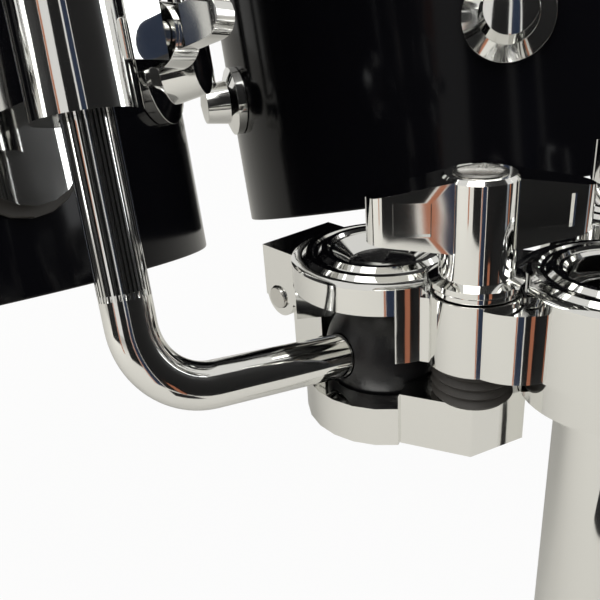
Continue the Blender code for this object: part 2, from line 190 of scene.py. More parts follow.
def turned(profile, steps, closed=False):
    """Turns (radius, height) points about Z. An open profile ends on the axis.

    The steps are the CAD's, and each is split into three or four here.
    """
    steps = steps * 4 if steps < 40 else steps * 3
    shape = bmesh.new()
    rings = []
    for radius, height in profile:
        if radius < 1e-6:
            rings.append([shape.verts.new((0.0, 0.0, height))])
            continue
        ring = []
        for step in range(steps):
            angle = 2.0 * pi * step / steps
            ring.append(shape.verts.new((radius * cos(angle), radius * sin(angle), height)))
        rings.append(ring)
    pairs = list(zip(rings, rings[1:]))
    if closed:
        pairs.append((rings[-1], rings[0]))
    for lower, upper in pairs:
        for step in range(steps):
            after = (step + 1) % steps
            if len(lower) == 1:
                shape.faces.new((lower[0], upper[step], upper[after]))
            elif len(upper) == 1:
                shape.faces.new((lower[step], lower[after], upper[0]))
            else:
                shape.faces.new((lower[step], lower[after], upper[after], upper[step]))
    return shape


def tube(outer, inner, low, high, steps):
    return turned([(outer, low), (outer, high), (inner, high), (inner, low)], steps, closed=True)


post_chrome = Paint("post chrome", PLATED, 0.05, 1.0)
post_chrome.feed("Roughness", post_chrome.noise(60.0, 3.0) * 0.05 + 0.03)
post_chrome.bump(post_chrome.noise(30.0, 1.0), 0.0002, 0.25)
post = begin("post_tube", tube(POST_R, POST_R - POST_WALL, 0.0, RING_Z + POST_TOP, 40))
settle(post, post_chrome, 0.0004)

# Holder: one zinc casting, polished and chromed. A collar over the post, two
# arms in a V, and at each arm's end a ringed cap that is the upper half of a
# ball socket, with a boss for the clamp bolt and two ears for the jaw's hinge.
SIDES = ((-1, "left"), (1, "right"))
GAP = 0.3                  # between neighbouring pieces
BELOW = -60.0              # a cut from here starts under the whole holder
ABOVE = 20.0               # and one up to here ends over it
ARM_LENGTH = 62.4          # post axis to ball axis
ARM_HALF = 20.0            # half an arm's width
ARM_TOP = -4.0
ARM_BOTTOM = -22.5
COLLAR_R = 23.0
COLLAR_BOTTOM = -33.5
CAP_R = 26.0
BALL_R = 17.5
BALL_Z = -31.0
BALL_ROOM = 0.75           # ball to socket
WINDOW_X = 11.0            # right edge of the opening that the rod leaves by
WINDOW_TOP = -8.5
BOLT = (29.0, -12.5)       # clamp bolt, seen from the ball axis
BOLT_R = 3.5
BOSS_R = 12.5
SHOULDER = (38.0, -9.5)    # the arm's front swells here towards the post
SHOULDER_R = 15.5
SPOT_R = 13.2              # flat sunk round the bolt for its washer
SPOT_Z = -3.0
HINGE = (-30.0, 16.0)      # hinge pin, seen from the ball axis
HINGE_R = 3.6
HINGE_Z = -21.0
HINGE_LENGTH = 28.0
KNUCKLE = 14.0             # width of the jaw's knuckle between the ears
EAR_R = 6.5
EAR_TOP = -4.6
RINGS = [(CAP_R, -1.2), (CAP_R - 1.2, -0.5), (CAP_R - 3.2, -0.4), (CAP_R - 4.4, 0.7),
         (CAP_R - 6.0, 0.8), (CAP_R - 6.6, 0.3), (CAP_R - 7.6, 0.3), (CAP_R - 8.8, 1.5),
         (CAP_R - 10.4, 1.5), (CAP_R - 11.0, 0.6), (CAP_R - 12.0, 0.5)]
CAP_PROFILE = ([(0.0, ARM_BOTTOM - 4.0), (CAP_R, ARM_BOTTOM - 4.0)] + RINGS
               + [(CAP_R - 16.5, -3.2), (0.0, -4.2)])
COLLAR_PROFILE = ([(0.0, ARM_BOTTOM - 5.0), (CAP_R, ARM_BOTTOM - 5.0)] + RINGS
                  + [(POST_R, -0.5), (0.0, -0.5)])
WINDOW = [(WINDOW_X, -40.0), (WINDOW_X, -9.0), (-12.0, 0.0), (-22.0, -5.0),
          (-40.0, -16.0), (-40.0, -40.0)]
LIFT = Matrix.Translation((0.0, 0.0, RING_Z))
LYING_Y = Matrix.Rotation(radians(90.0), 4, "X")    # lays an upright shape along Y
AT_BOLT = Matrix.Translation((*BOLT, 0.0))
BOLT_LINE = atan2(BOLT[1] - HINGE[1], BOLT[0] - HINGE[0])
PIN_TURN = Matrix.Translation((*HINGE, HINGE_Z)) @ Matrix.Rotation(BOLT_LINE, 4, "Z")


def moved(shape, matrix):
    shape.transform(matrix)
    return shape


def cylinder(radius, low, high, steps=32):
    return turned([(0.0, low), (radius, low), (radius, high), (0.0, high)], steps)


def prism(outline, low, high):
    """A flat outline pulled up between two heights."""
    shape = bmesh.new()
    bottom = [shape.verts.new((x, y, low)) for x, y in outline]
    top = [shape.verts.new((x, y, high)) for x, y in outline]
    shape.faces.new(bottom)
    shape.faces.new(top)
    count = len(outline)
    for index in range(count):
        after = (index + 1) % count
        shape.faces.new((bottom[index], bottom[after], top[after], top[index]))
    return shape


def arc(centre, radius, start, end, steps):
    """Points of an arc, with its angles in degrees."""
    points = []
    for step in range(steps + 1):
        angle = radians(start + (end - start) * step / steps)
        points.append((centre[0] + radius * cos(angle), centre[1] + radius * sin(angle)))
    return points


def arm_matrix(side):
    """From an arm's own plan, ball axis at 0,0 and +X to the post, to the object."""
    turn = Matrix.Rotation(radians(-45.0), 4, "Z") @ Matrix.Translation((-ARM_LENGTH, 0.0, 0.0))
    mirror = Matrix.Scale(-1.0, 4, (1.0, 0.0, 0.0)) if side > 0 else Matrix.Identity(4)
    return LIFT @ mirror @ turn


def pin_shape(radius, half, steps=20):
    """A cylinder along the hinge, as far to each side of its middle."""
    return moved(cylinder(radius, -half, half, steps), PIN_TURN @ LYING_Y)


def hinge_box(x_low, x_high, half, z_low, z_high):
    """A block in the hinge's own plan, +X towards the ball."""
    outline = [(x_low, -half), (x_high, -half), (x_high, half), (x_low, half)]
    return moved(prism(outline, z_low - HINGE_Z, z_high - HINGE_Z), PIN_TURN)


def ball_shape(radius):
    rows = 32
    points = []
    for row in range(rows + 1):
        angle = -pi / 2.0 + pi * row / rows
        across = radius * cos(angle) if 0 < row < rows else 0.0
        points.append((across, BALL_Z + radius * sin(angle)))
    return turned(points, 20)


def arms_outline():
    """Both arms seen from above, a V that opens towards the player."""
    points = []
    for side, along in ((-1, -ARM_HALF), (1, -ARM_HALF), (1, ARM_HALF), (-1, ARM_HALF)):
        end = arm_matrix(side) @ Vector((0.0, along, 0.0))
        points.append((end.x, end.y))
    corner = ARM_HALF * 2.0 ** 0.5
    return [points[0], (0.0, -corner), points[1], points[2], (0.0, corner), points[3]]


cast_chrome = Paint("cast chrome", (0.84, 0.84, 0.82), 0.06, 1.0)
cast_chrome.feed("Roughness", cast_chrome.noise(45.0, 4.0) * 0.07 + 0.03)
cast_chrome.bump(cast_chrome.noise(26.0, 1.5) + cast_chrome.noise(140.0, 1.0) * 0.1, 0.0006, 0.35)
holder = begin("holder_body", moved(turned(COLLAR_PROFILE, 30), LIFT))
boolean(holder, moved(prism(arms_outline(), ARM_BOTTOM - 2.0, ARM_TOP), LIFT), "UNION")
for side, label in SIDES:
    place = arm_matrix(side)
    boolean(holder, moved(turned(CAP_PROFILE, 30), place), "UNION")
    boss = cylinder(BOSS_R, ARM_BOTTOM - 3.0, SPOT_Z + 0.5)
    boolean(holder, moved(boss, place @ AT_BOLT), "UNION")
    shoulder = cylinder(SHOULDER_R, ARM_BOTTOM - 5.5, ARM_TOP + 0.25)
    boolean(holder, moved(shoulder, place @ Matrix.Translation((*SHOULDER, 0.0))), "UNION")
level_cut = cylinder(200.0, -90.0, ARM_BOTTOM)
boolean(holder, moved(level_cut, LIFT), "DIFFERENCE")
boolean(holder, moved(cylinder(COLLAR_R, COLLAR_BOTTOM, -10.0, 30), LIFT), "UNION")
for side, label in SIDES:
    place = arm_matrix(side)
    ears = hinge_box(-EAR_R, CAP_R - 10.0, HINGE_LENGTH / 2.0, HINGE_Z - 0.7, EAR_TOP)
    boolean(holder, moved(ears, place), "UNION")
    boolean(holder, moved(pin_shape(EAR_R, HINGE_LENGTH / 2.0 - 0.5, 24), place), "UNION")
for side, label in SIDES:
    place = arm_matrix(side)
    knuckle_room = hinge_box(-EAR_R - 2.0, 14.0, KNUCKLE / 2.0 + GAP,
                             HINGE_Z - EAR_R - 1.0, HINGE_Z + EAR_R + 0.5)
    boolean(holder, moved(knuckle_room, place), "DIFFERENCE")
    boolean(holder, moved(ball_shape(BALL_R + BALL_ROOM), place), "DIFFERENCE")
    boolean(holder, moved(prism(WINDOW, BELOW, WINDOW_TOP), place), "DIFFERENCE")
    at_bolt = place @ AT_BOLT
    boolean(holder, moved(cylinder(SPOT_R, SPOT_Z, ABOVE, 24), at_bolt), "DIFFERENCE")
    boolean(holder, moved(cylinder(BOLT_R + GAP, BELOW, ABOVE, 16), at_bolt), "DIFFERENCE")
    boolean(holder, moved(pin_shape(HINGE_R + GAP, 30.0), place), "DIFFERENCE")
boolean(holder, moved(cylinder(POST_R + GAP, BELOW, ABOVE, 30), LIFT), "DIFFERENCE")
settle(holder, cast_chrome, 0.0007)

# Lower jaws: zinc castings, chromed like the holder, each the lower half of a
# ball socket. A knuckle hangs the jaw on the hinge pin between the holder's
# ears, and the clamp bolt pulls its other end up.
RUN = 0.08                 # running clearance of a pin in its hole
JAW_TOP = -34.0
JAW_BOTTOM = -50.0
JAW_RIM = -38.0            # height of the rim under the rod's opening
JAW_R = 24.0
JAW_PLAY = 1.2             # room for the bolt while the jaw swings
JAW_OUTLINE = (
    [(WINDOW_X, -20.0), (31.0, -20.0), (42.5, -6.5), (38.0, 1.5), (24.0, 8.0)]
    + arc((0.0, 0.0), JAW_R, 20.0, 297.3, 18))
for side, label in SIDES:
    place = arm_matrix(side)
    jaw = begin(label + "_lower_jaw", moved(prism(JAW_OUTLINE, JAW_BOTTOM, JAW_TOP), place))
    neck = hinge_box(-2.0, 12.0, KNUCKLE / 2.0, JAW_BOTTOM + 4.0, HINGE_Z)
    boolean(jaw, moved(neck, place), "UNION")
    boolean(jaw, moved(pin_shape(EAR_R - GAP, KNUCKLE / 2.0, 24), place), "UNION")
    boolean(jaw, moved(ball_shape(BALL_R + BALL_ROOM), place), "DIFFERENCE")
    boolean(jaw, moved(prism(WINDOW, JAW_RIM, 0.0), place), "DIFFERENCE")
    bolt_hole = cylinder(BOLT_R + JAW_PLAY, BELOW, ABOVE, 20)
    boolean(jaw, moved(bolt_hole, place @ AT_BOLT), "DIFFERENCE")
    boolean(jaw, moved(pin_shape(HINGE_R + RUN, 20.0), place), "DIFFERENCE")
    settle(jaw, cast_chrome, 0.0009)

# Small parts of the clamps. The hinge pin is turned steel, pressed into the
# ears. The bush is ribbed black rubber round the bolt, and springs the jaw
# open. The washer is chromed steel in the flat sunk in the boss.
RIBS = 4
RIB_IN = 9.6
RIB_OUT = 10.8
SEAT = SPOT_Z + GAP        # the washer's lower face
WASHER = 1.6               # its thickness
turned_steel = Paint("turned steel", (0.66, 0.65, 0.62), 0.25, 1.0)
turned_steel.feed("Roughness", turned_steel.noise(300.0, 3.0) * 0.15 + 0.16)
turned_steel.bump(turned_steel.noise(900.0, 2.0), 0.00005, 0.3)
rubber = Paint("bush rubber", (0.03, 0.027, 0.024), 0.6, 0.0)
rubber.feed("Roughness", rubber.noise(200.0, 4.0) * 0.25 + 0.48)
rubber.bump(rubber.noise(700.0, 3.0), 0.00008, 0.5)
wing_chrome = Paint("wing chrome", (0.85, 0.85, 0.83), 0.05, 1.0)
wing_chrome.feed("Roughness", wing_chrome.noise(80.0, 3.0) * 0.06 + 0.03)
wing_chrome.bump(wing_chrome.noise(50.0, 1.0), 0.0004, 0.3)
for side, label in SIDES:
    place = arm_matrix(side)
    pin = pin_shape(HINGE_R, HINGE_LENGTH / 2.0 + 1.0)
    settle(begin(label + "_hinge_pin", moved(pin, place)), turned_steel, 0.0004)
    low = JAW_TOP + GAP
    high = ARM_BOTTOM - GAP
    step = (high - low) / RIBS
    ribs = []
    for index in range(RIBS):
        base = low + (high - low) * index / RIBS
        ribs += [(RIB_IN, base), (RIB_OUT, base + step * 0.5)]
    ribs += [(RIB_IN, high), (BOLT_R + GAP, high), (BOLT_R + GAP, low)]
    bush = moved(turned(ribs, 16, closed=True), place @ AT_BOLT)
    settle(begin(label + "_jaw_bush", bush), rubber)
    washer = tube(BOSS_R - 1.0, BOLT_R + GAP, SEAT, SEAT + WASHER, 28)
    settle(begin(label + "_clamp_washer", moved(washer, place @ AT_BOLT)), wing_chrome, 0.0003)

# Wing bolts: a steel shank that reaches down into the jaw, and a cast and
# chromed hub with two wings on it. Each wing has a sunk panel on both faces,
# and a thin steel cap with a raised rim closes the hub's top.
HUB_R = 9.5
HUB_FOOT_R = 12.0
HUB_FOOT = SEAT + WASHER + GAP
HUB_TOP = 27.0
WING_LENGTH = 27.5         # from the bolt's axis to the tip
WING_THICK = 9.0
WING_LOW = 9.0
WING_HIGH = 26.6
TIP_FALL = 3.8             # the wing's top falls this much to the tip
TIP_RISE = 2.5             # and its underside rises this much
WING_TURN = {-1: radians(25.0), 1: radians(-60.0)}
PANEL_START = 12.6
PANEL_END = WING_LENGTH - 6.0
PANEL_FLOOR = (4.86, 3.56)  # bolt axis to the panel's floor, near the hub and near the tip


def wing_blade():
    """One wing, from inside the hub's wall to its round tip."""
    half = WING_THICK / 2.0
    start = HUB_R - 2.0
    root = HUB_R - 2.8
    outline = [(start, -root)] + arc((WING_LENGTH - half, 0.0), half, -80.0, 80.0, 6)
    blade = prism(outline + [(start, root)], WING_LOW, WING_HIGH)
    for vertex in blade.verts:
        share = max(0.0, (vertex.co.x - start) / (WING_LENGTH - start))
        if vertex.co.z > (WING_LOW + WING_HIGH) / 2.0:
            vertex.co.z -= TIP_FALL * share
        else:
            vertex.co.z += TIP_RISE * share
    return blade


for side, label in SIDES:
    at_bolt = arm_matrix(side) @ AT_BOLT
    shank = cylinder(BOLT_R, JAW_BOTTOM + 0.6, HUB_TOP - 6.0, 20)
    settle(begin(label + "_clamp_stud", moved(shank, at_bolt)), turned_steel, 0.0004)
    hub = turned([(HUB_FOOT_R, HUB_FOOT), (HUB_FOOT_R, HUB_FOOT + 1.4), (HUB_R, HUB_FOOT + 2.4),
                  (HUB_R, HUB_TOP - 1.0), (HUB_R - 1.0, HUB_TOP), (BOLT_R + RUN, HUB_TOP),
                  (BOLT_R + RUN, HUB_FOOT)], 28, closed=True)
    wing_bolt = begin(label + "_wing_bolt", moved(hub, at_bolt))
    for way in (0.0, pi):
        turn = at_bolt @ Matrix.Rotation(WING_TURN[side], 4, "Z") @ Matrix.Rotation(way, 4, "Z")
        boolean(wing_bolt, moved(wing_blade(), turn), "UNION")
        for face in (-1.0, 1.0):
            outline = [(PANEL_START, face * PANEL_FLOOR[0]), (PANEL_END, face * PANEL_FLOOR[1]),
                       (PANEL_END, face * 12.0), (PANEL_START, face * 12.0)]
            panel = prism(outline, WING_LOW + 4.6, WING_HIGH - 4.8)
            boolean(wing_bolt, moved(panel, turn), "DIFFERENCE")
    settle(wing_bolt, wing_chrome, 0.0009)
    cap = turned([(0.0, HUB_TOP - 3.0), (3.3, HUB_TOP - 3.0), (3.3, HUB_TOP + 0.05),
                  (6.4, HUB_TOP + 0.05), (6.6, HUB_TOP + 0.25), (5.6, HUB_TOP + 0.55),
                  (5.0, HUB_TOP + 0.35), (0.0, HUB_TOP + 0.45)], 24)
    dress(begin(label + "_hub_cap", moved(cap, at_bolt)), turned_steel, label + "_wing")

# Balls: moulded black nylon, gripped between the holder's cap and the jaw.
# The rod's inner end is held in a blind hole in each.
ROD_R = 6.35
ROD_IN = 8.0               # the rod ends this far past the ball's middle
ARM_REACH = 75.3           # ball centre to the rod's corner
ROD_WAY = (0.966, -0.213, 0.147)
nylon = Paint("ball nylon", (0.006, 0.006, 0.007), 0.38, 0.0)
nylon.feed("Roughness", nylon.noise(500.0, 2.0) * 0.15 + 0.27)
nylon.bump(nylon.noise(1600.0, 2.0), 0.00012, 0.5)


def rod_points(side):
    """A rod's way out of its ball, with the ball's centre and the rod's corner."""
    ball = arm_matrix(side) @ Vector((0.0, 0.0, BALL_Z))
    along = Vector((side * ROD_WAY[0], ROD_WAY[1], ROD_WAY[2])).normalized()
    return along, ball, ball + along * ARM_REACH


for side, label in SIDES:
    along, centre, corner = rod_points(side)
    ball = begin(label + "_ball", moved(ball_shape(BALL_R), arm_matrix(side)))
    start = centre - along * (ROD_IN + GAP)
    way = centre + along * 40.0 - start
    aim = Matrix.Translation(start) @ way.to_track_quat("Z", "Y").to_matrix().to_4x4()
    boolean(ball, moved(cylinder(ROD_R + GAP, 0.0, way.length, 20), aim), "DIFFERENCE")
    settle(ball, nylon, 0.0004)

# Rods: 12.7 mm steel bar, bent at the corner and chromed. The upper leg is
# fluted all round above the bend, so that the drum's bracket and the memory
# lock grip it. Its upper end is chamfered.
ROD_BEND = 20.0
BEND_STEPS = 24
ROD_UP = 150.0             # corner to the rod's upper end
CHAMFER = 1.2
TILT = radians(16.5)       # both upper legs lean towards the player
LEAN = Vector((0.0, sin(TILT), cos(TILT)))
FLUTES = 36
FLUTE_DEPTH = 0.65
FLUTE_START = 27.0         # above the corner
ROUND_STEPS = FLUTES * 6


def rod_path(side):
    """Stations along the rod: point, direction and whether it is fluted."""
    along, ball, corner = rod_points(side)
    half = (-along).angle(LEAN) / 2.0
    reach = ROD_BEND / (sin(half) / cos(half))
    centre = corner + (LEAN - along).normalized() * (ROD_BEND / sin(half))
    first = corner - along * reach - centre
    last = corner + LEAN * reach - centre
    whole = first.angle(last)
    stations = [(ball - along * ROD_IN, along, False)]
    for step in range(BEND_STEPS + 1):
        share = step / BEND_STEPS
        spoke = (first * sin((1.0 - share) * whole) + last * sin(share * whole)) / sin(whole)
        turn = spoke.cross(first.cross(last)).normalized()
        if turn.dot(along + LEAN) < 0.0:
            turn = -turn
        stations.append((centre + spoke, turn, False))
    for height, fluted in ((FLUTE_START - 1.5, False), (FLUTE_START, True),
                           (ROD_UP - CHAMFER, True), (ROD_UP, False)):
        stations.append((corner + LEAN * height, LEAN, fluted))
    return stations


def rod_shape(stations, across):
    """The bar round its stations, cut in wherever a flute is."""
    shape = bmesh.new()
    rings = []
    for index, (point, way, fluted) in enumerate(stations):
        other = way.cross(across)
        inset = CHAMFER if index == len(stations) - 1 else 0.0
        ring = []
        for step in range(ROUND_STEPS):
            angle = 2.0 * pi * step / ROUND_STEPS
            cut = FLUTE_DEPTH * max(0.0, sin(angle * FLUTES)) ** 0.7 if fluted else 0.0
            spoke = cos(angle) * across + sin(angle) * other
            ring.append(shape.verts.new(point + (ROD_R - cut - inset) * spoke))
        rings.append(ring)
    for lower, upper in zip(rings, rings[1:]):
        for step in range(ROUND_STEPS):
            after = (step + 1) % ROUND_STEPS
            shape.faces.new((lower[step], lower[after], upper[after], upper[step]))
    shape.faces.new(rings[0])
    shape.faces.new(rings[-1])
    return shape


def rod_paint(label, across, top):
    """Chrome with painted shade down in the flutes, where it is dark grey and duller."""
    paint = Paint(label + " rod chrome", PLATED, 0.06, 1.0)
    place = paint.place()
    reaches = []
    for direction in (across, LEAN.cross(across), LEAN):
        reach = paint.node("ShaderNodeVectorMath", {"operation": "DOT_PRODUCT"},
                           {0: place, 1: direction}, out="Value")
        reaches.append(reach - top.dot(direction) * MM)
    around = paint.node("ShaderNodeMath", {"operation": "ARCTAN2"},
                        {0: reaches[1], 1: reaches[0]})
    wave = paint.node("ShaderNodeMath", {"operation": "SINE"}, {0: around * FLUTES})
    # Painted shade: the flutes above FLUTE_START are coloured dark grey, as shade down in them.
    painted_flute_shade = (wave > 0.1) * (reaches[2] > (FLUTE_START - ROD_UP) * MM)
    paint.blend(painted_flute_shade, PLATED, (0.20, 0.20, 0.20))
    paint.feed("Roughness", painted_flute_shade * 0.25 + paint.noise(90.0, 3.0) * 0.08 + 0.04)
    paint.bump(paint.noise(60.0, 1.0), 0.0002, 0.3)
    return paint


for side, label in SIDES:
    node = label + "_l_rod"
    stations = rod_path(side)
    first, second, last = stations[0][0], stations[1][0], stations[-1][0]
    across = (second - first).cross(last - first).normalized()
    rod = begin(label + "_fluted_rod", rod_shape(stations, across), prefix="")
    dress(rod, rod_paint(label, across, last), BODY_OF[node], radians(10.0))
    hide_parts(node)

# Drums: wooden shells in black lacquer, 254 and 304.8 mm across, open
# underneath. A coated film head with its steel flesh hoop lies on the upper
# edge. Six tension rods pull a chromed counterhoop down on it, and screw into
# six round cast lugs on the shell.
SHELL_R = {-1: 127.0, 1: 152.4}
SHELL_WALL = 6.0
DRUM_DEPTH = 200.0
DRUM_SPIN = {-1: radians(29.7), 1: radians(-2.0)}   # turned about the rod's lean
CORNER_UP = {-1: -27.0, 1: -31.0}                   # rod's corner, from the lower rim up
ROD_STAND = 36.7           # shell to the middle of the rod
HEAD_OUT = 5.0             # head's edge outside the shell
FILM = 0.8                 # head's thickness
HOOP_IN = 5.8              # counterhoop's wall, outside the shell
HOOP_OUT = 8.4
HOOP_UP = 12.0             # the wall stands this high over the head
FLANGE_OUT = 17.5          # its turned-out lower flange
FLANGE_TOP = DRUM_DEPTH - 18.0
FLANGE_LOW = DRUM_DEPTH - 20.3
HOOP_LIP = DRUM_DEPTH + GAP + FILM + GAP
LYING_X = Matrix.Rotation(radians(90.0), 4, "Y")    # lays an upright shape along X
LUGS = 6
LUG_Z = 63.0
LUG_R = 17.0
TENSION_R = 2.8
TENSION_OUT = 13.0         # shell to the middle of a tension rod
TENSION_FOOT = LUG_Z + 4.0
TENSION_SEAT = FLANGE_TOP + GAP
TENSION_ROD = [
    (0.0, TENSION_FOOT), (TENSION_R, TENSION_FOOT), (TENSION_R, TENSION_SEAT),
    (4.2, TENSION_SEAT), (4.2, TENSION_SEAT + 6.0), (3.2, TENSION_SEAT + 6.0),
    (3.2, TENSION_SEAT + 12.0), (0.0, TENSION_SEAT + 12.0)]
lacquer = Paint("black lacquer", (0.0025, 0.0025, 0.0035), 0.08, 0.0)
lacquer.shader.inputs["Specular IOR Level"].default_value = 0.14
lacquer.feed("Roughness", lacquer.noise(25.0, 4.0) * 0.06 + 0.08)
lacquer.bump(lacquer.noise(180.0, 1.0), 0.00005, 0.15)
head_film = Paint("coated film", (0.84, 0.83, 0.80), 0.5, 0.0)
head_film.blend(head_film.noise(40.0, 5.0), (0.80, 0.79, 0.75), (0.87, 0.86, 0.84))
head_film.feed("Roughness", head_film.noise(250.0, 3.0) * 0.2 + 0.45)
head_film.bump(head_film.noise(1200.0, 2.0), 0.0001, 0.4)
rod_chrome = Paint("rod chrome", PLATED, 0.06, 1.0)
rod_chrome.feed("Roughness", rod_chrome.noise(90.0, 3.0) * 0.06 + 0.04)
rod_chrome.bump(rod_chrome.noise(60.0, 1.0), 0.0002, 0.3)


def drum_matrix(side):
    """Shell's lower rim at 0,0,0, Z up the shell and the bracket towards -Y."""
    corner = rod_points(side)[2]
    turn = Matrix.Rotation(-TILT, 4, "X") @ Matrix.Rotation(DRUM_SPIN[side], 4, "Z")
    out = turn @ Vector((0.0, -(SHELL_R[side] + ROD_STAND), 0.0))
    return Matrix.Translation(corner - out - LEAN * CORNER_UP[side]) @ turn


def hoop_shape(radius):
    """The counterhoop's section, turned in over the head and out at its foot."""
    return turned([
        (radius + 1.0, HOOP_LIP), (radius + 1.0, HOOP_LIP + 1.6),
        (radius + HOOP_IN, HOOP_LIP + 1.6), (radius + HOOP_IN, HOOP_LIP + HOOP_UP),
        (radius + HOOP_OUT, HOOP_LIP + HOOP_UP), (radius + HOOP_OUT, FLANGE_TOP),
        (radius + FLANGE_OUT, FLANGE_TOP), (radius + FLANGE_OUT, FLANGE_LOW),
        (radius + HOOP_IN, FLANGE_LOW), (radius + HOOP_IN, HOOP_LIP)], 40, closed=True)


def lug_shape(radius):
    """A round foot on the shell with a round boss that takes the tension rod."""
    foot = turned([(0.0, radius - 3.0), (LUG_R, radius - 3.0), (LUG_R, radius + 4.0),
                   (11.0, radius + 6.5), (9.5, radius + 18.0), (0.0, radius + 20.0)], 12)
    return moved(foot, Matrix.Translation((0.0, 0.0, LUG_Z)) @ LYING_X)


for side, label in SIDES:
    radius = SHELL_R[side]
    place = drum_matrix(side)
    shell = tube(radius, radius - SHELL_WALL, 0.0, DRUM_DEPTH, 48)
    settle(begin(label + "_shell", moved(shell, place)), lacquer, 0.0008)
    film = cylinder(radius + HEAD_OUT, DRUM_DEPTH + GAP, DRUM_DEPTH + GAP + FILM, 48)
    settle(begin(label + "_batter_head", moved(film, place)), head_film, 0.0002)
    flesh = tube(radius + HEAD_OUT, radius + 1.0, DRUM_DEPTH - 6.0, DRUM_DEPTH, 40)
    settle(begin(label + "_flesh_hoop", moved(flesh, place)), turned_steel, 0.0004)
    hoop = begin(label + "_counterhoop", moved(hoop_shape(radius), place))
    for index in range(LUGS):
        number = str(index + 1)
        turn = Matrix.Rotation(pi * 1.5 + pi / LUGS + 2.0 * pi * index / LUGS, 4, "Z")
        at_rod = place @ turn @ Matrix.Translation((radius + TENSION_OUT, 0.0, 0.0))
        tension_rod = moved(turned(TENSION_ROD, 8), at_rod)
        settle(begin(label + "_tension_rod_" + number, tension_rod), rod_chrome, 0.0003)
        hole = cylinder(TENSION_R + GAP, DRUM_DEPTH - 30.0, DRUM_DEPTH, 8)
        boolean(hoop, moved(hole, at_rod), "DIFFERENCE")
        lug = begin(label + "_lug_" + number, moved(lug_shape(radius), place @ turn))
        shell_room = cylinder(radius + GAP, -10.0, DRUM_DEPTH + 10.0, 48)
        boolean(lug, moved(shell_room, place), "DIFFERENCE")
        well = cylinder(TENSION_R + GAP, LUG_Z + 2.0, DRUM_DEPTH, 8)
        boolean(lug, moved(well, at_rod), "DIFFERENCE")
        settle(lug, wing_chrome, 0.0012)
    settle(hoop, rod_chrome, 0.0005)

# Brackets: a cast and chromed flange on a rubber gasket holds each shell on
# its rod. A T-shaped thumb screw clamps the rod in the flange's receiver. The
# memory lock above it, a ring with a key screw of its own, keeps the height.
RECEIVER_LOW = 41.0        # heights on the shell
RECEIVER_HIGH = 80.0
RECEIVER_R = 13.0
GASKET = 2.2               # shell to the gasket's outer face
FLANGE = 3.5               # thickness of the flange's plate
GASKET_TONGUE = (19.5, 21.0, 101.0)     # half width, lower end, upper end
FLANGE_TONGUE = (16.5, 24.0, 98.0)
BLANK_SPARE = 1.5          # a plate's blank is this much wider than its tongue
BLANK_LOW = 10.0
BLANK_HIGH = 110.0
STEM_HALF = 9.0
SCREW_R = 4.0
SCREW_HEAD = 24.0          # rod's middle to the screw's head
HEAD_R = 8.0
HEAD_HEIGHT = 8.0
GRIP_HALF = 17.0           # the T's arms, from the screw's axis to their round ends
GRIP_R = 5.0
LOCK_R = 11.0
LOCK_HEIGHT = 12.0
LOCK_SCREW_R = 2.5


def curved_plate(inner, outer, half):
    """A plate bent round the shell, as wide to each side of the rod."""
    reach = degrees(asin(half / inner))
    outline = arc((0.0, 0.0), outer, -90.0 - reach, -90.0 + reach, 8)
    outline += arc((0.0, 0.0), inner, -90.0 + reach, -90.0 - reach, 8)
    return prism(outline, BLANK_LOW, BLANK_HIGH)


def tongue(radius, half, z_low, z_high):
    """A plate's outline with a round lower end, as a block through the plate."""
    outline = arc((0.0, z_low + half), half, 180.0, 360.0, 10) + [(half, z_high), (-half, z_high)]
    return moved(prism(outline, radius - 12.0, radius + 20.0), LYING_Y)


